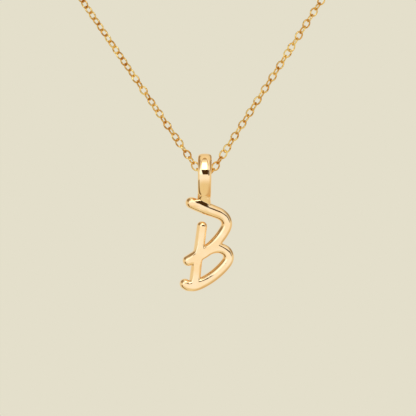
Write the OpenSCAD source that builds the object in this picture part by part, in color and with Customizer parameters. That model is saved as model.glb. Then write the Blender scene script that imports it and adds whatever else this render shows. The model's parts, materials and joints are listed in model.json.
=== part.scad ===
// Initial pendant: a cast letter with a soldered oval bail, hanging on a fine cable chain
// Millimetres. The origin is the middle of the neck, level with the back of the chain.
// X runs to the right as seen from the front, Y to the back of the neck and Z up.

/* [Letter] */
// Width across the letter
letter_w = 8.6; // [7:0.1:11]
// Height of the letter
letter_h = 15.1; // [12:0.1:19]
// Usual width of a stroke
stroke_w = 1.7; // [1.4:0.05:2]
// Thickness of a stroke of the usual width, front to back
letter_t = 1.65; // [1.2:0.05:2.2]

/* [Bail] */
// Height of the oval, outside
bail_h = 7.35; // [6.6:0.05:9]
// Depth of the oval from front to back, outside
bail_d = 5.1; // [4.8:0.1:6]
// Width of the band at the crown
bail_w = 2.24; // [1.8:0.02:2.6]
// Width of the band at the foot
bail_foot_w = 2.1; // [1.6:0.02:2.4]
// Thickness of the band at its sides and foot
bail_wall = 0.95; // [0.7:0.05:1.05]
// Thickness of the band at its crown, which bears on the chain
bail_crown = 1.35; // [0.8:0.05:1.5]
// Lean of the bail, its foot to the left of its crown
bail_lean = 0.8; // [-4:0.1:4]
// Height of solder between the bail and the letter
solder_h = 0.3; // [0.1:0.05:0.8]

/* [Chain] */
// Width of the chain over its links
chain_d = 1.3; // [1:0.05:1.4]
// Length that each link adds to the chain
link_pitch = 1.13; // [0.9:0.01:1.3]
// Radius of the neck that the chain goes round
neck_r = 57; // [50:1:65]
// Depth of the chain's lowest link below its back
drop = 80; // [70:1:90]
// Angle between the vertical and the left arm, seen from the front
left_arm_angle = 34.3; // [30:0.1:40]
// Angle between the vertical and the right arm, seen from the front
right_arm_angle = 32.5; // [30:0.1:40]
// Angle round the neck over which each arm looks straight from the front
straight_turn = 25; // [15:1:35]

/* [Clasp] */
// Length of the barrel
clasp_l = 7; // [5:0.5:10]
// Diameter of the barrel
clasp_d = 2.4; // [1.8:0.1:3.2]
// Width of the waist between the barrel's two halves
waist_l = 0.4; // [0.2:0.1:0.8]
// Outer diameter of the eye at each end
eye_d = 1.6; // [1.4:0.1:2]
// Wire of the eye
eye_wire = 0.45; // [0.3:0.05:0.55]

/* [Fit] */
// Play between the chain and the bail's crown
hang_gap = 0.55; // [0.4:0.05:0.8]
// Distance of the bail's crown to the left of the chain's lowest link
aside = 0.12; // [-0.2:0.02:0.2]
// Gap between each end of the chain and the clasp's eye
end_gap = 0.15; // [0.1:0.05:0.4]

/* [Hidden] */

gold = "#EBC08A";

// The strokes of the letter. Each row holds the place of the middle of the stroke, across and up, as shares
// of the letter's size inside its outer strokes, then the width there as a share of stroke_w.
// Top stroke and upper bowl, from the left tip to the small tail beside the stem
TOP_STROKE = [
    [0.135, 0.996, 1.08], [0.27, 0.970, 1.16], [0.44, 0.937, 1.20], [0.65, 0.896, 1.15],
    [0.81, 0.860, 1.09], [0.92, 0.806, 1.03], [0.95, 0.726, 1.00], [0.845, 0.621, 1.02],
    [0.67, 0.511, 1.03], [0.45, 0.414, 1.06], [0.225, 0.349, 1.10], [0.055, 0.305, 0.97],
];
// Stem, from its top down
STEM = [
    [0.381, 0.716, 0.94], [0.352, 0.597, 0.94], [0.315, 0.453, 0.96], [0.266, 0.309, 0.98],
    [0.24, 0.190, 0.99], [0.21, 0.058, 0.99],
];
// Lower bowl, from the stem round to the hook at the bottom left
LOWER_BOWL = [
    [0.42, 0.399, 0.88], [0.59, 0.442, 0.90], [0.79, 0.455, 0.96], [0.95, 0.412, 1.00],
    [0.992, 0.332, 1.00], [0.893, 0.246, 1.02], [0.688, 0.144, 1.02], [0.455, 0.063, 1.04],
    [0.235, 0.010, 1.02], [0.065, 0.008, 1.02], [-0.012, 0.027, 1.00],
];
SEAT_ROW = 2;                // the row of the top stroke that carries the bail
BAIL_AT = 0.45;              // the bail's place across the letter, a share as in the tables
STEPS = 3;                   // pieces between two rows of a stroke
STROKE_PLUMP = 3.2;          // 2 makes a section an ellipse, and more makes it squarer
BAND_PLUMP = 2.2;
ARC = 22.5;                  // step round a section, in degrees
END_RINGS = 4;               // rings in each round end of a stroke
END_STEP = 20;               // step between them, in degrees
TURN = 12;                   // step round the bail, in degrees
BEAR = 0.4;                  // the crown bears on the chain this share of its width from the middle
SOLDER_BALL = 0.7;           // thickness of the solder in the stroke, as a share of the stroke's
CHAIN_SIDES = 8;
CHAIN_STEPS = 37;            // rings of the chain on each side of the bail
CHAIN_CROWDING = 1.3;        // 1 spaces these rings evenly, and more brings them closer near the bail

// Heights in the pendant's frame, whose zero is the middle of the chain's lowest link
chain_flat = link_pitch / 2;
bear_x = BEAR * bail_w;
crown_in = max(chain_top(bear_x, left_arm_angle), chain_top(bear_x, right_arm_angle)) + hang_gap;
bail_top = crown_in + bail_crown;
bail_mid = bail_top - bail_h / 2;
bail_foot = bail_top - bail_h;
hole_mid = (crown_in + bail_foot + bail_wall) / 2;
hole_h = crown_in - bail_foot - bail_wall;
line_w = letter_w - stroke_w;
line_h = letter_h - stroke_w;
seat = TOP_STROKE[SEAT_ROW];
seat_z = bail_foot - solder_h - seat[2] * stroke_w / 2;
// The clasp lies straight between the two ends of the chain
eye_reach = clasp_l / 2 + eye_d - eye_wire;
end_x = eye_reach + end_gap;
end_y = sqrt(neck_r * neck_r - end_x * end_x);
end_turn = 180 - asin(end_x / neck_r);

// Height of the chain's upper edge at x, on an arm at this angle to the vertical
function chain_top(x, arm) = max(0, x - chain_flat) / tan(arm) + chain_d / 2 / sin(arm);

// A rounded section: its point in the direction a, within half sizes of 1
function section(a, plump) = [power(cos(a), plump), power(sin(a), plump)];
function power(v, plump) = sign(v) * pow(abs(v), 2 / plump);

// A smooth curve through all the rows of a table
function curve(rows) = [
    for (i = [0 : len(rows) - 2], s = [0 : STEPS - 1])
        between(end_row(rows, i - 1), rows[i], rows[i + 1], end_row(rows, i + 2), s / STEPS),
    rows[len(rows) - 1],
];
function end_row(rows, i) =
    i < 0 ? 2 * rows[0] - rows[1] :
    i == len(rows) ? 2 * rows[i - 1] - rows[i - 2] :
    rows[i];
function between(a, b, c, d, t) =
    (2 * b + (c - a) * t + (2 * a - 5 * b + 4 * c - d) * t * t + (3 * b - a - 3 * c + d) * t * t * t) / 2;

// Where a row of a stroke's table lies in the pendant's frame
function place(row) = [(row[0] - BAIL_AT) * line_w, 0, seat_z + (row[1] - seat[1]) * line_h];

// A solid skin over rings of points, joined into a loop or closed by its two end rings
module skin(rings, loop = false) {
    n = len(rings[0]);
    m = len(rings);
    sides = [
        for (i = [0 : m - (loop ? 1 : 2)], j = [0 : n - 1])
            let (k = (i + 1) % m, l = (j + 1) % n)
            [i * n + j, i * n + l, k * n + l, k * n + j]
    ];
    ends = [[for (j = [n - 1 : -1 : 0]) j], [for (j = [0 : n - 1]) (m - 1) * n + j]];
    polyhedron([for (ring = rings) each ring], loop ? sides : concat(sides, ends));
}

// A ring of a stroke, square to its line
function stroke_ring(middle, along, w, t) =
    let (across = [-along[2], 0, along[0]])
    [
        for (a = [0 : ARC : 359])
            let (s = section(a, STROKE_PLUMP))
            middle + across * s[0] * w / 2 + [0, s[1] * t / 2, 0]
    ];

// The rings that round off an end of a stroke, its start if side is -1 and its finish if side is 1
function round_end(middle, along, side, w, t) = [
    for (i = [1 : END_RINGS])
        let (b = END_STEP * (side < 0 ? i - END_RINGS - 1 : i))
        stroke_ring(middle + along * w / 2 * sin(b), along, w * cos(b), t * power(cos(b), STROKE_PLUMP))
];

// A stroke of the letter, with rings along its curve. It is thicker where it is wider.
module stroke(rows) {
    line = curve(rows);
    n = len(line) - 1;
    spot = [for (row = line) place(row)];
    along = [for (i = [0 : n]) unit(spot[min(i + 1, n)] - spot[max(i - 1, 0)])];
    wide = [for (row = line) row[2] * stroke_w];
    thick = [for (row = line) row[2] * letter_t];
    skin(concat(
        round_end(spot[0], along[0], -1, wide[0], thick[0]),
        [for (i = [0 : n]) stroke_ring(spot[i], along[i], wide[i], thick[i])],
        round_end(spot[n], along[n], 1, wide[n], thick[n])
    ));
}

// The band of the bail goes round an oval, and its section is thickest at the crown
function band(turn) =
    let (
        outer = [0, -bail_d / 2 * sin(turn), bail_mid + bail_h / 2 * cos(turn)],
        inner = [0, -(bail_d / 2 - bail_wall) * sin(turn), hole_mid + hole_h / 2 * cos(turn)],
        low = (1 - cos(turn)) / 2,
        w = bail_w + (bail_foot_w - bail_w) * low,
        lean = -bail_h * tan(bail_lean) * low
    )
    [
        for (a = [0 : ARC : 359])
            let (s = section(a, BAND_PLUMP))
            (outer + inner) / 2 + (outer - inner) / 2 * s[0] + [lean + w / 2 * s[1], 0, 0]
    ];

module bail() {
    skin([for (turn = [0 : TURN : 359]) band(turn)], loop = true);
}

// Solder between the foot of the bail and the top stroke, as wide as the bail and following the stroke
module solder_seat() {
    ball = stroke_w * seat[2] * SOLDER_BALL;
    foot_x = -bail_h * tan(bail_lean);
    hull() {
        translate([foot_x, 0, bail_foot + bail_wall / 2])
            rotate([0, 90, 0])
                cylinder(d = bail_wall, h = bail_foot_w - bail_wall / 2, center = true, $fn = 32);
        for (row = [TOP_STROKE[SEAT_ROW - 1], TOP_STROKE[SEAT_ROW + 1]])
            let (share = (bail_foot_w - ball / 2) / 2 / norm(place(row) - place(seat)))
            translate(place(seat + share * (row - seat)))
                sphere(d = ball, $fn = 32);
    }
}

// The letter and its bail, cast and soldered into one
module initial_pendant() {
    color(gold)
        translate([-aside, -neck_r, -drop])
            union() {
                stroke(TOP_STROKE);
                stroke(STEM);
                stroke(LOWER_BOWL);
                bail();
                solder_seat();
            }
}

// Height of the chain at a turn round the neck. It is flat in the bail, then rises straight as seen from
// the front, and past straight_turn it eases into the level back.
function chain_z(turn, arm) =
    let (
        climb = neck_r / tan(arm),
        left_over = (drop - climb * sin(straight_turn) + chain_flat / tan(arm)) / climb,
        ease = 2 * left_over / cos(straight_turn) * 180 / PI,
        rest = max(0, straight_turn + ease - turn)
    )
    turn < straight_turn
        ? (neck_r * sin(turn) - chain_flat) / tan(arm) - drop
        : -climb * cos(straight_turn) * PI / 180 * rest * rest / 2 / ease;

// The middle line of the chain on one side, from the bail to the clasp
function arm_line(side) =
    let (first = asin(chain_flat / neck_r))
    [
        for (i = [0 : CHAIN_STEPS])
            let (
                turn = first + (end_turn - first) * pow(i / CHAIN_STEPS, CHAIN_CROWDING),
                arm = side < 0 ? left_arm_angle : right_arm_angle
            )
            [side * neck_r * sin(turn), -neck_r * cos(turn), chain_z(turn, arm)]
    ];

// A ring of the tube square to the line there, with the miter of the bend
function chain_ring(line, i) =
    let (
        back = unit(line[i] - line[max(i - 1, 0)]),
        ahead = unit(line[min(i + 1, len(line) - 1)] - line[i]),
        along = unit(back + ahead),
        out = unit([line[i][0], line[i][1], 0]),
        up = cross(out, along),
        miter = 1 / max(along * back, along * ahead)
    )
    [
        for (j = [0 : CHAIN_SIDES - 1])
            let (a = 360 * (j + 0.5) / CHAIN_SIDES)
            line[i] + chain_d / 2 * (out * cos(a) + up * sin(a) * miter)
    ];
function unit(v) = norm(v) > 0 ? v / norm(v) : v;

// The whole loop of chain, drawn as a tube of the links' width
module neck_chain() {
    left = arm_line(-1);
    right = arm_line(1);
    line = concat([for (i = [len(left) - 1 : -1 : 0]) left[i]], right);
    color(gold)
        skin([for (i = [0 : len(line) - 1]) chain_ring(line, i)]);
}

// A closed barrel with an eye at each end for the chain's last links
module clasp() {
    r = clasp_d / 2;
    rim = r / 3;
    half = [
        [0, 0], [r - rim / 2, 0], [r - rim / 2, waist_l / 2], [r, waist_l / 2 + rim / 2],
        [r, clasp_l / 2 - rim], [r - rim, clasp_l / 2], [0, clasp_l / 2],
    ];
    color(gold)
        translate([0, end_y, 0])
            rotate([0, 90, 0]) {
                rotate_extrude() polygon(half);
                mirror([0, 0, 1]) rotate_extrude() polygon(half);
                for (side = [-1, 1])
                    translate([0, 0, side * (clasp_l / 2 + eye_d / 2 - eye_wire)])
                        rotate([90, 0, 0])
                            rotate_extrude()
                                translate([(eye_d - eye_wire) / 2, 0])
                                    circle(d = eye_wire);
            }
}

initial_pendant();
neck_chain();
clasp();
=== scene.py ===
import json
import math

import bmesh
import bpy
import numpy as np
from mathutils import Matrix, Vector


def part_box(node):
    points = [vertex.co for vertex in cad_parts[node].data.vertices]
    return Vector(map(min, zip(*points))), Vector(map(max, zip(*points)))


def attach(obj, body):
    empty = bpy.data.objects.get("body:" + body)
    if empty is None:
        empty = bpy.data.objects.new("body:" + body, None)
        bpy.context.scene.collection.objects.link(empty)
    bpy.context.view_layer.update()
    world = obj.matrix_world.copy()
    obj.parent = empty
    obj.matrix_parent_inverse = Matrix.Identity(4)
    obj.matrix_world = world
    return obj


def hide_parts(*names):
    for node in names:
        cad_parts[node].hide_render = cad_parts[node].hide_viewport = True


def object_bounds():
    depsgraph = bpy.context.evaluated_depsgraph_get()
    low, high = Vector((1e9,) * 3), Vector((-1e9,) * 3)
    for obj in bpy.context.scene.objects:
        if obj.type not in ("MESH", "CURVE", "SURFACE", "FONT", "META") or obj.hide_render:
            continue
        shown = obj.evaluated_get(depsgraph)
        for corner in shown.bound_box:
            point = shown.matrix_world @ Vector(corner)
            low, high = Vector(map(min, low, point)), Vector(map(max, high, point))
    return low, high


# A gold letter with a soldered bail, hanging on a fine cable chain with a barrel clasp.
# Lengths in the dictionaries are millimetres and angles are degrees; the meshes are in metres.
# Seen from the front, X is to the right, -Y towards the camera and Z up.
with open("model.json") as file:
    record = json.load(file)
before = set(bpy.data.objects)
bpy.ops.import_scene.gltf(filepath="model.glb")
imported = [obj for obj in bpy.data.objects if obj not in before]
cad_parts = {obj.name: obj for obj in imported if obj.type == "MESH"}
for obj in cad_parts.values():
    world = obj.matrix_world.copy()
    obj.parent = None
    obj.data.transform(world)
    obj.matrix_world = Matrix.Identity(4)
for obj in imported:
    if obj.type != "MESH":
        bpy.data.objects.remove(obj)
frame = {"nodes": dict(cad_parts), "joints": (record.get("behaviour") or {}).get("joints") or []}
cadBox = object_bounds()
metre = 1000.0  # millimetres
swing = frame["joints"][0]["pos_m"]
print("frame loaded:", sorted(frame["nodes"]))


# Shader and geometry nodes

class Wire:  # one output socket; arithmetic on it adds Math nodes
    def __init__(self, maker, socket):
        self.maker = maker
        self.socket = socket

    def also(self, name):  # another output of the same node
        return Wire(self.maker, self.socket.node.outputs[name])

    def math(self, operation, *others):
        return self.maker.add("ShaderNodeMath", {"operation": operation}, dict(enumerate((self, *others))))

    def __add__(self, other):
        return self.math("ADD", other)

    def __mul__(self, other):
        return self.math("MULTIPLY", other)

    def __sub__(self, other):
        return self.math("SUBTRACT", other)

    def __rsub__(self, other):
        return self.maker.add("ShaderNodeMath", {"operation": "SUBTRACT"}, {0: other, 1: self})

    __radd__ = __add__
    __rmul__ = __mul__

    def ramp(self, start, end, low=0.0, high=1.0):  # eases from low at start to high at end
        span = {"Value": self, "From Min": start, "From Max": end, "To Min": low, "To Max": high}
        return self.maker.add("ShaderNodeMapRange", {"interpolation_type": "SMOOTHSTEP"}, span)

    def within(self, low, high, soft, highSoft=None):  # 1 between low and high, with soft ends
        highSoft = highSoft or soft
        return self.ramp(low - soft, low + soft) * self.ramp(high - highSoft, high + highSoft, 1.0, 0.0)


class NodeMaker:
    def __init__(self, tree):
        self.tree = tree
        tree.nodes.clear()

    def add(self, kind, settings=None, sockets=None, output=0):
        node = self.tree.nodes.new(kind)
        for name, value in (settings or {}).items():
            setattr(node, name, value)
        for key, value in (sockets or {}).items():
            if isinstance(value, Wire):
                self.tree.links.new(value.socket, node.inputs[key])
            else:
                node.inputs[key].default_value = value
        return Wire(self, node.outputs[output]) if len(node.outputs) else node

    def mix(self, amount, first, second):  # colours, as wires or as four numbers
        return self.add("ShaderNodeMix", {"data_type": "RGBA"}, {0: amount, 6: first, 7: second}, 2)


def colour(red, green, blue):
    return (red, green, blue, 1.0)


# Gold

goldTone = {
    "rich": colour(0.985, 0.700, 0.345),
    "pale": colour(1.000, 0.760, 0.420),
    "cloudSize": 2.6,  # drifts from the rich tone to the pale one
    "cloudEdge": (0.35, 0.65),  # the part of the noise over which a drift turns from one to the other
    "waveSize": 1.7,  # slow unevenness left by the polishing wheel
    "waveDepth": 0.0011,
    "grainSize": 0.16,  # fine marks of handling
    "grainStretch": (1.0, 1.0, 0.35),
    "grainDepth": 0.0001,
    "gloss": 0.045,  # roughness where the gold is untouched
    "dull": 0.085,  # and where it is worn
    "wornGrain": (0.45, 0.75),  # the part of the grain that is worn
    "wornClouds": (0.3, 0.7, 0.4, 1.0),  # wear also drifts, between these two shares
}
# Painted shade: a darker copy of the gold for the chain. Its rich tone is darkened partly for the chain's own
# bronzer colour and partly as painted shade for the dark arcs of its wires. The drift between dark and pale,
# at link size and at random, stands in for the links' shade and highlights.
chainTonePaintedShade = goldTone | {
    "rich": colour(0.660, 0.330, 0.050),
    "pale": colour(1.000, 0.760, 0.270),
    "cloudSize": 1.0,
    "waveDepth": 0.00033,
    "gloss": 0.05,
    "dull": 0.11,
}
claspTone = goldTone | {"gloss": 0.06, "dull": 0.12}


def polishedGold(name, tone):
    material = bpy.data.materials.new(name)
    material.use_nodes = True
    make = NodeMaker(material.node_tree)
    place = make.add("ShaderNodeTexCoord", output="Object")

    def noise(size, detail, stretch=(1.0, 1.0, 1.0)):
        spot = make.add("ShaderNodeMapping", None, {"Vector": place, "Scale": stretch})
        return make.add("ShaderNodeTexNoise", None, {"Vector": spot, "Scale": metre / size, "Detail": detail})

    clouds = noise(tone["cloudSize"], 2.0)
    grain = noise(tone["grainSize"], 3.0, tone["grainStretch"])
    waves = noise(tone["waveSize"], 0.0)
    tint = make.mix(clouds.ramp(*tone["cloudEdge"]), tone["rich"], tone["pale"])
    wear = grain.ramp(*tone["wornGrain"]) * clouds.ramp(*tone["wornClouds"])
    relief = waves * tone["waveDepth"] + grain * tone["grainDepth"]
    bump = make.add("ShaderNodeBump", None, {"Height": relief, "Strength": 1.0, "Distance": 1.0 / metre})
    shader = make.add("ShaderNodeBsdfPrincipled", None, {
        "Base Color": tint,
        "Metallic": 1.0,
        "Roughness": wear * (tone["dull"] - tone["gloss"]) + tone["gloss"],
        "Normal": bump,
    })
    make.add("ShaderNodeOutputMaterial", None, {"Surface": shader})
    return material


pendantGold = polishedGold("pendantGold", goldTone)
# The chain's finish carries painted shade: its darkened, contrasting gold stands in for the shade among the
# links.
chainGoldPaintedShade = polishedGold("chainGoldPaintedShade", chainTonePaintedShade)
claspGold = polishedGold("claspGold", claspTone)
print("gold finishes made")


# Meshes

def meshObject(name, verts, faces, material):
    mesh = bpy.data.meshes.new(name)
    mesh.from_pydata([tuple(v) for v in verts], [], faces)
    mesh.materials.append(material)
    mesh.shade_smooth()
    mesh.update()
    piece = bpy.data.objects.new(name, mesh)
    bpy.context.collection.objects.link(piece)
    return piece


def plainMesh(piece):  # the piece with its modifiers applied
    graph = bpy.context.evaluated_depsgraph_get()
    mesh = bpy.data.meshes.new_from_object(piece.evaluated_get(graph))
    piece.modifiers.clear()
    old = piece.data
    piece.data = mesh
    bpy.data.meshes.remove(old)
    return piece


def meshArray(items, name, width, kind=np.float64):  # a row of numbers for each vertex or edge
    values = np.empty(len(items) * width, dtype=kind)
    items.foreach_get(name, values)
    return values.reshape(-1, width)


def roundAngles(count):
    return np.radians(np.arange(count) * 360 / count)


# The cast letter and its bail

letter = {
    "width": 8.6,
    "height": 15.1,
    "stroke": 1.7,
    "thickness": 1.65,
    "plump": 2.75,  # 2 makes a stroke's section an ellipse, and more makes it squarer
    "fillet": 0.22,  # where strokes meet, as a share of their half width
    "spread": 3.0,  # how far a meeting of strokes flattens their faces, in the same measure
    "faceRight": -0.15,  # the front face sits a little to the lower right of the back
    "faceUp": 0.12,
    "bailAt": 0.45,  # the bail's place across the letter
    "seatRow": 2,  # the row of the top stroke under the bail
    # Each row: across and up, as shares of the letter inside its outer strokes, then the width in strokes
    "topStroke": [
        (0.135, 0.996, 1.08), (0.27, 0.970, 1.16), (0.44, 0.937, 1.20), (0.65, 0.896, 1.15),
        (0.81, 0.860, 1.09), (0.92, 0.806, 1.03), (0.95, 0.726, 1.00), (0.845, 0.621, 1.02),
        (0.67, 0.511, 1.03), (0.45, 0.414, 1.06), (0.225, 0.349, 1.10), (0.055, 0.305, 0.97),
    ],
    "stem": [
        (0.381, 0.716, 0.94), (0.352, 0.597, 0.94), (0.315, 0.453, 0.96), (0.266, 0.309, 0.98),
        (0.24, 0.190, 0.99), (0.21, 0.058, 0.99),
    ],
    "lowerBowl": [
        (0.42, 0.399, 0.88), (0.59, 0.442, 0.90), (0.79, 0.455, 0.96), (0.95, 0.412, 1.00),
        (0.992, 0.332, 1.00), (0.893, 0.246, 1.02), (0.688, 0.144, 1.02), (0.455, 0.063, 1.04),
        (0.235, 0.010, 1.02), (0.065, 0.008, 1.02), (-0.012, 0.027, 1.00),
    ],
}
bail = {
    "height": 7.35,
    "depth": 5.1,
    "crownWidth": 2.24,
    "footWidth": 2.1,
    "wall": 0.95,
    "crownWall": 1.35,
    "leastWall": 0.2,  # where the outer and the inner oval run close together
    "lean": 0.8,  # its foot is to the left of its crown
    "plump": 2.8,
}
solder = {
    "gap": 0.3,  # between the bail's foot and the top of the stroke
    "drop": 0.1,  # the pad's middle below the top of the stroke
    "size": (1.05, 0.93, 1.4),  # half width, half depth and half height
    "plump": 4,
    "flare": (0.36, 0.12),  # how fast it deepens upwards and downwards from its waist
    "toe": 1.3,  # how much further it spreads to the left along the stroke
    "toeDrop": 0.3,  # how far down from the waist it takes to spread
    "bend": -0.8,  # it falls to the right, by the first slope up to here and then by the second
    "slopes": (0.12, 0.5),
    "bailFillet": 0.20,
    "letterFillet": 0.12,
}
casting = {
    "weld": 0.001,  # joins the loose triangles of the solid
    "voxel": 0.066,
    "rounds": 4,  # of drawing the skin onto the smooth form
    "evenRounds": 2,  # the first ones, which also even out the mesh along the surface
    "curveSteps": 7,  # pieces between two rows of a stroke
    "probe": 0.001,  # step for measuring the form's slope
    "leastSlope": 0.05,  # squared, so that a flat spot doesn't throw a point far off
}


def smoothRows(rows, steps):  # a curve through all the rows
    rows = np.array(rows)
    rows = np.vstack([2 * rows[0] - rows[1], rows, 2 * rows[-1] - rows[-2]])
    made = []
    for a, b, c, d in zip(rows, rows[1:], rows[2:], rows[3:]):
        for t in np.arange(steps) / steps:
            made.append((2 * b + (c - a) * t + (2 * a - 5 * b + 4 * c - d) * t**2
                         + (3 * b - a - 3 * c + d) * t**3) / 2)
    return np.array([*made, rows[-2]])


def smoothMin(a, b, reach):  # the lesser of the two, rounded where they are within reach of each other
    near = np.maximum(reach - np.abs(a - b), 0) / reach
    return np.minimum(a, b) - near**2 * reach / 4


def plumpShare(plump, *shares):  # below 1 inside a plump oval; each share is measured along one of its axes
    return sum(np.abs(share) ** plump for share in shares) ** (1 / plump)


def strokeShare(points, line):  # distance from a stroke's line, as a share of its half width there
    best = np.full(len(points), np.inf)
    half = np.zeros(len(points))
    for (x, z, w), (dx, dz, dw) in zip(line, np.diff(line, axis=0)):
        t = ((points[:, 0] - x) * dx + (points[:, 2] - z) * dz) / (dx * dx + dz * dz)
        t = np.clip(t, 0, 1)
        width = w + dw * t
        share = np.hypot(points[:, 0] - x - dx * t, points[:, 2] - z - dz * t) / width
        closer = share < best
        best = np.where(closer, share, best)
        half = np.where(closer, width, half)
    return best, half


class CastForm:
    # The smooth form of letter, solder and bail: depth() is below 0 inside, about in millimetres
    def __init__(self):
        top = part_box("initial_pendant")[1].z * metre
        self.x = swing[0] * metre
        self.y = swing[1] * metre
        self.bailMid = top - bail["height"] / 2
        self.bailShift = bail["height"] * math.tan(math.radians(bail["lean"]))
        self.holeHeight = bail["height"] - bail["wall"] - bail["crownWall"]
        self.holeMid = top - bail["crownWall"] - self.holeHeight / 2
        self.strokeTop = top - bail["height"] - solder["gap"]
        seat = letter["topStroke"][letter["seatRow"]]
        seatZ = self.strokeTop - seat[2] * letter["stroke"] / 2
        self.strokes = []
        for name in ("topStroke", "stem", "lowerBowl"):
            rows = smoothRows(letter[name], casting["curveSteps"])
            x = self.x + (rows[:, 0] - letter["bailAt"]) * (letter["width"] - letter["stroke"])
            z = seatZ + (rows[:, 1] - seat[1]) * (letter["height"] - letter["stroke"])
            self.strokes.append(np.column_stack([x, z, rows[:, 2] * letter["stroke"] / 2]))

    def letterDepth(self, points):
        y = points[:, 1] - self.y
        leant = points - y[:, None] * np.array([letter["faceRight"], 0, letter["faceUp"]])
        share, half = strokeShare(leant, self.strokes[0])
        for line in self.strokes[1:]:
            other, otherHalf = strokeShare(leant, line)
            reach = letter["fillet"] + letter["spread"] * np.maximum(0, 1 - np.minimum(share, other))
            weight = np.clip(0.5 + (share - other) / reach / 2, 0, 1)
            half = half + (otherHalf - half) * weight
            share = smoothMin(share, other, reach)
        through = y / (half * letter["thickness"] / letter["stroke"])
        return (plumpShare(letter["plump"], np.maximum(share, 0), through) - 1) * half

    def bailDepth(self, points):
        y = points[:, 1] - self.y

        def outside(depth, height, mid):  # distance outside an upright oval, about in millimetres
            z = points[:, 2] - mid
            size = np.hypot(y / depth, z / height) + 1e-9
            return (size - 1) * size / np.hypot(y / depth**2, z / height**2)

        outer = outside(bail["depth"] / 2, bail["height"] / 2, self.bailMid)
        inner = outside(bail["depth"] / 2 - bail["wall"], self.holeHeight / 2, self.holeMid)
        wall = np.maximum(inner - outer, bail["leastWall"])
        low = np.clip((self.bailMid - points[:, 2]) / bail["height"] + 0.5, 0, 1)
        width = bail["crownWidth"] + (bail["footWidth"] - bail["crownWidth"]) * low
        across = (points[:, 0] - self.x + self.bailShift * low) * 2 / width
        return (plumpShare(bail["plump"], across, (inner + outer) / wall) - 1) * wall / 2

    def solderDepth(self, points):
        wide, deep, high = solder["size"]
        x = points[:, 0] - self.x + self.bailShift
        first, second = solder["slopes"]
        fall = np.maximum(x, solder["bend"]) * second + np.minimum(x - solder["bend"], 0) * first
        z = points[:, 2] - self.strokeTop + solder["drop"] + fall
        up, down = solder["flare"]
        deep = deep + np.maximum(up * z, -down * z)
        wide = wide + solder["toe"] * np.clip(-z / solder["toeDrop"], 0, 1) * (x < 0)
        return (plumpShare(solder["plump"], x / wide, (points[:, 1] - self.y) / deep, z / high) - 1) * high

    def depth(self, points):
        soldered = smoothMin(self.bailDepth(points), self.solderDepth(points), solder["bailFillet"])
        return smoothMin(self.letterDepth(points), soldered, solder["letterFillet"])

    def slope(self, points, here):
        steps = np.eye(3) * casting["probe"]
        return np.column_stack([self.depth(points + step) - here for step in steps]) / casting["probe"]

    def draw(self, points):  # moves points square onto the surface
        here = self.depth(points)
        slope = self.slope(points, here)
        steep = np.maximum((slope**2).sum(axis=1), casting["leastSlope"])
        return points - slope * (here / steep)[:, None]

    def facing(self, points):  # the surface's own direction at points on it
        slope = self.slope(points, self.depth(points))
        return slope / np.linalg.norm(slope, axis=1)[:, None]


def voxelSkin():  # an even mesh over the pendant's solid, in millimetres
    mesh = frame["nodes"]["initial_pendant"].data.copy()
    mesh.materials.clear()
    mesh.materials.append(pendantGold)
    work = bmesh.new()
    work.from_mesh(mesh)
    bmesh.ops.scale(work, vec=Vector((metre,) * 3), verts=work.verts)
    bmesh.ops.remove_doubles(work, verts=work.verts, dist=casting["weld"])
    work.to_mesh(mesh)
    work.free()
    piece = bpy.data.objects.new("castPendant", mesh)
    bpy.context.collection.objects.link(piece)
    skin = piece.modifiers.new("skin", "REMESH")
    skin.mode = "VOXEL"
    skin.voxel_size = casting["voxel"]
    return plainMesh(piece)


def castPendant():
    piece = voxelSkin()
    mesh = piece.data
    points = meshArray(mesh.vertices, "co", 3)
    ends = meshArray(mesh.edges, "vertices", 2, np.int32)
    neighbours = np.bincount(ends.ravel(), minlength=len(points))[:, None]
    form = CastForm()
    for turn in range(casting["rounds"]):
        points = form.draw(points)
        if turn < casting["evenRounds"]:  # halfway to the middle of their neighbours
            sums = np.zeros_like(points)
            np.add.at(sums, ends[:, 0], points[ends[:, 1]])
            np.add.at(sums, ends[:, 1], points[ends[:, 0]])
            points = (points + sums / neighbours) / 2
    print("casting: off the form by at most", round(float(np.abs(form.depth(points)).max()), 4), "mm")
    mesh.vertices.foreach_set("co", (points / metre).ravel())
    mesh.shade_smooth()
    mesh.update()
    mesh.normals_split_custom_set_from_vertices(form.facing(points).tolist())
    return piece


pendantPiece = castPendant()
print("pendant cast:", len(pendantPiece.data.polygons), "faces")


# The cable chain

chain = {
    "neckRadius": 57.0,
    "drop": 80.0,
    "arms": {-1: 34.3, 1: 32.5},  # from the vertical, on the left and on the right
    "straightTurn": 25.0,  # the arms look straight from the front up to this angle round the neck
    "routeSteps": 4000,
    "pitch": 1.13,  # from one joint to the next, on average
    "frontPitch": 1.134,  # the chain is taut in front, so this is also the pitch that sets a link's length
    "linkWidth": 1.38,
    "wire": 0.28,
    "play": 0.012,  # between one link's wire and the next one's
    "firstJoint": 1.13,  # height over the chain's lowest point of the joint just outside the bail
    "wobble": 5.0,
    "seed": 7,
    "ringSteps": 12,
    "wireSides": 5,
    "frontTurn": (35.0, 60.0),  # round the neck, where the rolls go over from the viewer's to the neck's
    # How far the even links are turned from facing the viewer: link number from the bail, then angle
    "rolls": {
        -1: [(0, 14), (6, 22), (7, 62), (11, 66), (12, 46), (14, 62), (17, 62), (19, 45), (30, 42), (50, 0)],
        1: [(0, 14), (4, 22), (5, 64), (21, 66), (22, 22), (34, 20), (50, 0)],
    },
}


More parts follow.
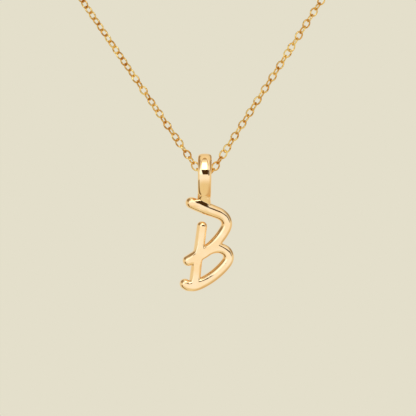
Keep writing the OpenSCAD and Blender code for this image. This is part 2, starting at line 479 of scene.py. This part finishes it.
def armHeight(turn, lean):  # straight as seen from the front, and then easing to level at the back
    climb = chain["neckRadius"] / math.tan(lean)  # over one neck radius to the side
    flat = chain["pitch"] / 2 / math.tan(lean)  # and over the half of the level link in the bail
    straight = math.radians(chain["straightTurn"])
    easing = 2 * ((chain["drop"] - climb * math.sin(straight) + flat) / climb) / math.cos(straight)
    rest = np.maximum(0, straight + easing - turn)
    low = climb * np.sin(turn) - flat - chain["drop"]
    return np.where(turn < straight, low, -climb * math.cos(straight) * rest**2 / 2 / easing)


def armJoints(side):  # from the lowest link out to the clasp's eye
    radius, pitch = chain["neckRadius"], chain["pitch"]
    lean = math.radians(chain["arms"][side])
    claspLow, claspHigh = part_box("clasp")
    backY = (claspLow.y + claspHigh.y) / 2 * metre
    endX = claspHigh.x * metre - clasp["eyeWire"]
    firstX = pitch / 2 + chain["firstJoint"] * math.tan(lean)
    turn = np.linspace(math.asin(firstX / radius), math.pi - math.asin(endX / radius), chain["routeSteps"])
    route = np.column_stack([
        side * radius * np.sin(turn),
        np.minimum(-radius * np.cos(turn), backY),
        armHeight(turn, lean),
    ])
    along = np.concatenate([[0], np.cumsum(np.linalg.norm(np.diff(route, axis=0), axis=1))])
    links = 2 * round(along[-1] / pitch / 2)  # even, so the last link passes through the eye
    share = np.linspace(0, 1, links + 1)
    taut = chain["frontPitch"] * links / along[-1] - 1
    stops = along[-1] * share * (1 + taut * (1 - share))
    joints = [np.interp(stops, along, route[:, axis]) for axis in range(3)]
    sunk = math.sqrt(pitch**2 - (firstX - pitch / 2) ** 2)
    lowest = (side * pitch / 2, -radius, chain["firstJoint"] - chain["drop"] - sunk)
    print("chain arm", side, "has", links + 1, "links over", round(along[-1] + pitch, 1), "mm")
    return np.vstack([lowest, np.column_stack(joints)])


def linkTree():  # a link on each edge of the incoming mesh, turned by the edge's roll
    tree = bpy.data.node_groups.new("cableLinks", "GeometryNodeTree")
    tree.is_modifier = True
    face = tree.interface
    face.new_socket("Geometry", in_out="INPUT", socket_type="NodeSocketGeometry")
    for name in ("Link Length", "Link Width", "Wire", "Wobble"):
        face.new_socket(name, in_out="INPUT", socket_type="NodeSocketFloat")
    for name in ("Seed", "Ring Steps", "Wire Sides"):
        face.new_socket(name, in_out="INPUT", socket_type="NodeSocketInt")
    face.new_socket("Finish", in_out="INPUT", socket_type="NodeSocketMaterial")
    face.new_socket("Geometry", in_out="OUTPUT", socket_type="NodeSocketGeometry")
    make = NodeMaker(tree)
    given = make.add("NodeGroupInput").also

    def vector(operation, first, second):
        return make.add("ShaderNodeVectorMath", {"operation": operation}, {0: first, 1: second})

    # One oval link, lying in its own XY plane with its length along X
    oval = make.add("GeometryNodeCurvePrimitiveCircle", None,
                    {"Resolution": given("Ring Steps"), "Radius": 0.5})
    size = make.add("ShaderNodeCombineXYZ", None, {
        "X": given("Link Length") - given("Wire"), "Y": given("Link Width") - given("Wire"), "Z": 1.0})
    spot = make.add("GeometryNodeInputPosition")
    oval = make.add("GeometryNodeSetPosition", None,
                    {"Geometry": oval, "Position": vector("MULTIPLY", spot, size)})
    wire = make.add("GeometryNodeCurvePrimitiveCircle", None,
                    {"Resolution": given("Wire Sides"), "Radius": given("Wire") * 0.5})
    link = make.add("GeometryNodeCurveToMesh", None, {"Curve": oval, "Profile Curve": wire})
    # One place for each edge, facing along it and away from the neck
    ends = make.add("GeometryNodeInputMeshEdgeVertices")
    reach = vector("SUBTRACT", ends.also("Position 2"), ends.also("Position 1"))
    path = make.add("GeometryNodeStoreNamedAttribute", {"data_type": "FLOAT_VECTOR", "domain": "EDGE"},
                    {"Geometry": given("Geometry"), "Name": "along", "Value": reach})
    places = make.add("GeometryNodeMeshToPoints", {"mode": "EDGES"}, {"Mesh": path})
    along = make.add("GeometryNodeInputNamedAttribute", {"data_type": "FLOAT_VECTOR"}, {"Name": "along"})
    roll = make.add("GeometryNodeInputNamedAttribute", {"data_type": "FLOAT"}, {"Name": "roll"})
    outward = vector("MULTIPLY", spot, (1.0, 1.0, 0.0))
    facing = make.add("FunctionNodeAxesToRotation", {"primary_axis": "X", "secondary_axis": "Z"},
                      {"Primary Axis": along, "Secondary Axis": outward})
    chance = make.add("FunctionNodeRandomValue", {"data_type": "FLOAT"},  # 2 and 3 are its least and most
                      {2: 0.0 - given("Wobble"), 3: given("Wobble"), "Seed": given("Seed")}, 1)
    turned = make.add("FunctionNodeAxisAngleToRotation", None,
                      {"Axis": (1.0, 0.0, 0.0), "Angle": roll + chance})
    facing = make.add("FunctionNodeRotateRotation", {"rotation_space": "LOCAL"},
                      {"Rotation": facing, "Rotate By": turned})
    links = make.add("GeometryNodeInstanceOnPoints", None,
                     {"Points": places, "Instance": link, "Rotation": facing})
    links = make.add("GeometryNodeRealizeInstances", None, {"Geometry": links})
    links = make.add("GeometryNodeSetMaterial", None, {"Geometry": links, "Material": given("Finish")})
    make.add("NodeGroupOutput", None, {"Geometry": links})
    return tree


def linkRoll(number, start, end):  # from the neck's own direction, in radians
    places, angles = zip(*chain["rolls"][-1 if number < 0 else 1])
    flat = np.interp(abs(number), places, angles) + 90 * (abs(number) % 2)
    along = Vector(end - start).normalized()
    outward = Vector(start + end) * Vector((1, 1, 0))
    outward = (outward - along * outward.dot(along)).normalized()
    across = outward.cross(along)
    turn = abs(math.degrees(math.atan2(start[0] + end[0], -start[1] - end[1])))
    fade = np.interp(turn, chain["frontTurn"], (1, 0))
    return math.radians(flat) - fade * math.atan2(-across.y, -outward.y)


def cableChain():
    left, right = armJoints(-1), armJoints(1)
    joints = np.vstack([left[::-1], right]) / metre
    numbers = np.arange(len(joints) - 1) - (len(left) - 1)  # 0 for the link in the bail
    mesh = bpy.data.meshes.new("cableChain")
    mesh.from_pydata(joints.tolist(), [(i, i + 1) for i in range(len(joints) - 1)], [])
    rolls = [linkRoll(*link) for link in zip(numbers, joints, joints[1:])]
    mesh.attributes.new("roll", "FLOAT", "EDGE").data.foreach_set("value", rolls)
    piece = bpy.data.objects.new("cableChain", mesh)
    bpy.context.collection.objects.link(piece)
    values = {
        "Link Length": (chain["frontPitch"] + 2 * chain["wire"] + chain["play"]) / metre,
        "Link Width": chain["linkWidth"] / metre,
        "Wire": chain["wire"] / metre,
        "Wobble": math.radians(chain["wobble"]),
        "Seed": chain["seed"],
        "Ring Steps": chain["ringSteps"],
        "Wire Sides": chain["wireSides"],
        "Finish": chainGoldPaintedShade,
    }
    links = piece.modifiers.new("links", "NODES")
    links.node_group = linkTree()
    for item in links.node_group.interface.items_tree:
        if item.in_out == "INPUT" and item.name in values:
            links[item.identifier] = values[item.name]
    plainMesh(piece)
    piece.data.shade_smooth()
    return piece


# The barrel clasp

clasp = {
    "length": 7.0,
    "width": 2.4,
    "waist": 0.4,  # a groove round the middle, as if two halves screwed together
    "waistDepth": 0.2,
    "waistSteps": 4,
    "shoulder": 0.4,
    "shoulderSteps": 8,
    "sides": 48,
    "eyeAcross": 1.6,
    "eyeWire": 0.45,
    "eyeSteps": 32,
    "eyeSides": 12,
}


def arcPoints(middle, radius, start, end, steps):
    angles = np.radians(np.linspace(start, end, steps + 1))
    return [(middle[0] + radius * math.cos(a), middle[1] + radius * math.sin(a)) for a in angles]


def bandFaces(rings, sides, closed):  # between rings of points, and from the last to the first if closed
    faces = []
    for i in range(rings if closed else rings - 1):
        for j in range(sides):
            k, n = (j + 1) % sides, (i + 1) % rings
            faces.append((i * sides + j, i * sides + k, n * sides + k, n * sides + j))
    return faces


def turnedBarrel(y, z):  # a lathe profile of along and out, spun about X
    half, radius = clasp["length"] / 2, clasp["width"] / 2
    edge, shoulder = clasp["waistDepth"] / 2, clasp["shoulder"]
    profile = [(clasp["waist"] / 2 - edge, radius - clasp["waistDepth"])]
    profile += arcPoints((clasp["waist"] / 2 + edge, radius - edge), edge, 180, 90, clasp["waistSteps"])
    profile += arcPoints((half - shoulder, radius - shoulder), shoulder, 90, 0, clasp["shoulderSteps"])
    profile = [(-x, r) for x, r in reversed(profile)] + profile
    sides = clasp["sides"]
    verts = [(x, y + r * math.cos(a), z + r * math.sin(a)) for x, r in profile for a in roundAngles(sides)]
    faces = bandFaces(len(profile), sides, False)
    faces.append(tuple(range(sides))[::-1])
    faces.append(tuple(range(len(verts) - sides, len(verts))))
    return verts, faces


def eyeRing(side, y, z):
    middle = side * (clasp["length"] / 2 + clasp["eyeAcross"] / 2 - clasp["eyeWire"])
    ring, wire = (clasp["eyeAcross"] - clasp["eyeWire"]) / 2, clasp["eyeWire"] / 2
    verts = []
    for a in roundAngles(clasp["eyeSteps"]):
        for b in roundAngles(clasp["eyeSides"]):
            r = ring + wire * math.cos(b)
            verts.append((middle + r * math.cos(a), y + wire * math.sin(b), z + r * math.sin(a)))
    return verts, bandFaces(clasp["eyeSteps"], clasp["eyeSides"], True)


def barrelClasp():
    low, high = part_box("clasp")
    y, z = (low.y + high.y) / 2 * metre, (low.z + high.z) / 2 * metre
    parts = [turnedBarrel(y, z), eyeRing(-1, y, z), eyeRing(1, y, z)]
    pieces = []
    for number, (verts, faces) in enumerate(parts):
        part = meshObject(f"claspPart{number}", np.array(verts) / metre, faces, claspGold)
        work = bmesh.new()
        work.from_mesh(part.data)
        bmesh.ops.recalc_face_normals(work, faces=work.faces)
        work.to_mesh(part.data)
        work.free()
        pieces.append(part)
    barrel, *eyes = pieces
    for eye in eyes:
        join = barrel.modifiers.new("join", "BOOLEAN")
        join.operation = "UNION"
        join.solver = "EXACT"
        join.object = eye
    bpy.context.view_layer.update()
    plainMesh(barrel)
    barrel.name = "barrelClasp"
    barrel.data.shade_smooth()
    for eye in eyes:
        bpy.data.objects.remove(eye)
    return barrel


claspPiece = barrelClasp()
chainPiece = cableChain()
print("chain linked:", len(chainPiece.data.polygons), "faces; clasp:", len(claspPiece.data.polygons), "faces")

for piece, body, node, slot in (
    (pendantPiece, "pendant", "initial_pendant", "pendant_gold"),
    (chainPiece, "necklace", "neck_chain", "chain_gold"),
    (claspPiece, "necklace", "clasp", "clasp_gold"),
):
    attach(piece, body)
    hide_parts(node)


# Studio

studio = {
    "backdrop": colour(0.7758, 0.7379, 0.5972),  # all that the camera itself sees of the room
    "floorFront": colour(0.84, 0.78, 0.63),
    "floorRight": colour(0.68, 0.52, 0.35),
    "walls": colour(0.84, 0.77, 0.64),
    "cream": colour(1.04, 1.05, 1.19),  # the lit wall behind the camera
    "overhead": colour(0.95, 0.88, 0.76),
    # Where these ease into each other. Angles are heights over the horizon, or go round the pendant from 0
    # towards the camera, with the camera's right positive.
    "wallsRise": (-45, -5),
    "overheadRise": (60, 88),
    "creamRise": (-30, -2),
    "creamSides": (22, 62),
    "floorRightStart": (5, 60),
    "floorRightEnd": (90, 170, 1.0, 0.3),  # from this share of it to that one
    # Cards, each in front of the ones before: colour, how much it covers, and then its start, its end and
    # their softness, first round the pendant and then over the horizon
    "cards": {
        "left curtain": (colour(0.26, 0.16, 0.08), 0.85, (-150, -46, 12), (21, 62, 8)),
        "right curtain": (colour(0.26, 0.16, 0.08), 0.75, (52, 165, 12), (12, 50, 8)),
        "softbox rim": (colour(0.52, 0.38, 0.23), 1.0, (-31, 25, 4), (40, 92, 5)),
        "softbox cloth": (colour(0.93, 0.93, 0.90), 1.0, (-22, 16, 4), (24.5, 74, 6)),
        "softbox lamp": (colour(3.20, 3.10, 2.95), 1.0, (-16, 10, 6), (24.5, 56, 1, 6)),
        "bright strip": (colour(1.20, 1.42, 1.80), 1.0, (-40, -6, 5), (8, 28, 5)),
        "dark flag": (colour(0.24, 0.15, 0.06), 1.0, (-84, -43, 8), (-78, -8, 3)),
    },
    "gap": colour(0.060, 0.030, 0.010),  # the unlit slot under the softbox
    "gapRise": (7, 24.5, 0.7),
    "gapSlant": 0.65,  # its left end moves to the left by this share of its height
    "gapRight": 19,
    "gapSoft": 1,
    "gapTail": ((20, 36, 3), (3, 22, 1)),  # it goes on to the right, lower and narrower
    "paper": colour(0.93, 0.95, 0.94),
    "paperDrop": 150.0,  # below the pendant
    "paperRadius": 1100.0,
    "paperFade": (0.35, 0.95),  # shares of the radius
    "paperSides": 96,
}


def studioWorld():
    world = bpy.data.worlds.new("studio")
    world.use_nodes = True
    bpy.context.scene.world = world
    make = NodeMaker(world.node_tree)
    towards = make.add("ShaderNodeTexCoord", output="Generated")
    x = make.add("ShaderNodeSeparateXYZ", None, {"Vector": towards})
    y, z = x.also("Y"), x.also("Z")
    degree = 180 / math.pi
    height = z.math("ARCSINE") * degree
    around = x.math("ARCTAN2", 0.0 - y) * degree
    right = around.ramp(*studio["floorRightStart"]) * around.ramp(*studio["floorRightEnd"])
    light = make.mix(right, studio["floorFront"], studio["floorRight"])
    light = make.mix(height.ramp(*studio["wallsRise"]), light, studio["walls"])
    cream = around.math("ABSOLUTE").ramp(*studio["creamSides"], 1.0, 0.0) * height.ramp(*studio["creamRise"])
    light = make.mix(cream, light, studio["cream"])
    light = make.mix(height.ramp(*studio["overheadRise"]), light, studio["overhead"])
    for tone, cover, sides, rise in studio["cards"].values():
        card = around.within(*sides) * height.within(*rise)
        light = make.mix(card * cover, light, tone)
    soft, end = studio["gapSoft"], studio["gapRight"]
    slot = (around + height * studio["gapSlant"]).ramp(-soft, soft)
    slot = slot * around.ramp(end - soft, end + soft, 1.0, 0.0) * height.within(*studio["gapRise"])
    sides, rise = studio["gapTail"]
    tail = around.within(*sides) * height.within(*rise)
    light = make.mix(slot.math("MAXIMUM", tail), light, studio["gap"])
    seen = make.add("ShaderNodeLightPath", output="Is Camera Ray")
    shown = make.mix(seen, light, studio["backdrop"])
    sky = make.add("ShaderNodeBackground", None, {"Color": shown})
    make.add("ShaderNodeOutputWorld", None, {"Surface": sky})


def studioFloor():
    radius, sides = studio["paperRadius"] / metre, studio["paperSides"]
    level = cadBox[0].z - studio["paperDrop"] / metre
    verts = [(0.0, 0.0, level)]
    verts += [(radius * math.cos(a), radius * math.sin(a), level) for a in roundAngles(sides)]
    faces = [(0, 1 + i, 1 + (i + 1) % sides) for i in range(sides)]
    material = bpy.data.materials.new("palePaper")
    material.use_nodes = True
    make = NodeMaker(material.node_tree)
    place = make.add("ShaderNodeTexCoord", output="Object")
    away = make.add("ShaderNodeVectorMath", {"operation": "LENGTH"}, {0: place}, "Value")
    start, end = studio["paperFade"]
    paper = make.add("ShaderNodeBsdfPrincipled", None, {
        "Base Color": studio["paper"],
        "Roughness": 0.9,
        "Specular IOR Level": 0.1,
        "Alpha": away.ramp(radius * start, radius * end, 1.0, 0.0),
    })
    make.add("ShaderNodeOutputMaterial", None, {"Surface": paper})
    floor = meshObject("paleFloor", verts, faces, material)
    floor.visible_glossy = False


view = {
    "centreX": 0.37,  # what the middle of the picture looks at
    "centreZ": -85.08,
    "across": 66.56,  # width of the picture at the letter
    "distance": 1200.0,
}


def studioCamera():
    camera = bpy.data.objects.new("camera", bpy.data.cameras.new("camera"))
    bpy.context.collection.objects.link(camera)
    camera.location = (view["centreX"] / metre, swing[1] - view["distance"] / metre, view["centreZ"] / metre)
    camera.rotation_euler = (math.pi / 2, 0, 0)
    camera.data.lens = camera.data.sensor_width * view["distance"] / view["across"]
    camera.data.clip_start = 0.01
    camera.data.clip_end = 20
    bpy.context.scene.camera = camera


studioWorld()
studioFloor()
studioCamera()
bpy.context.scene.view_settings.view_transform = "Standard"
print("studio set")
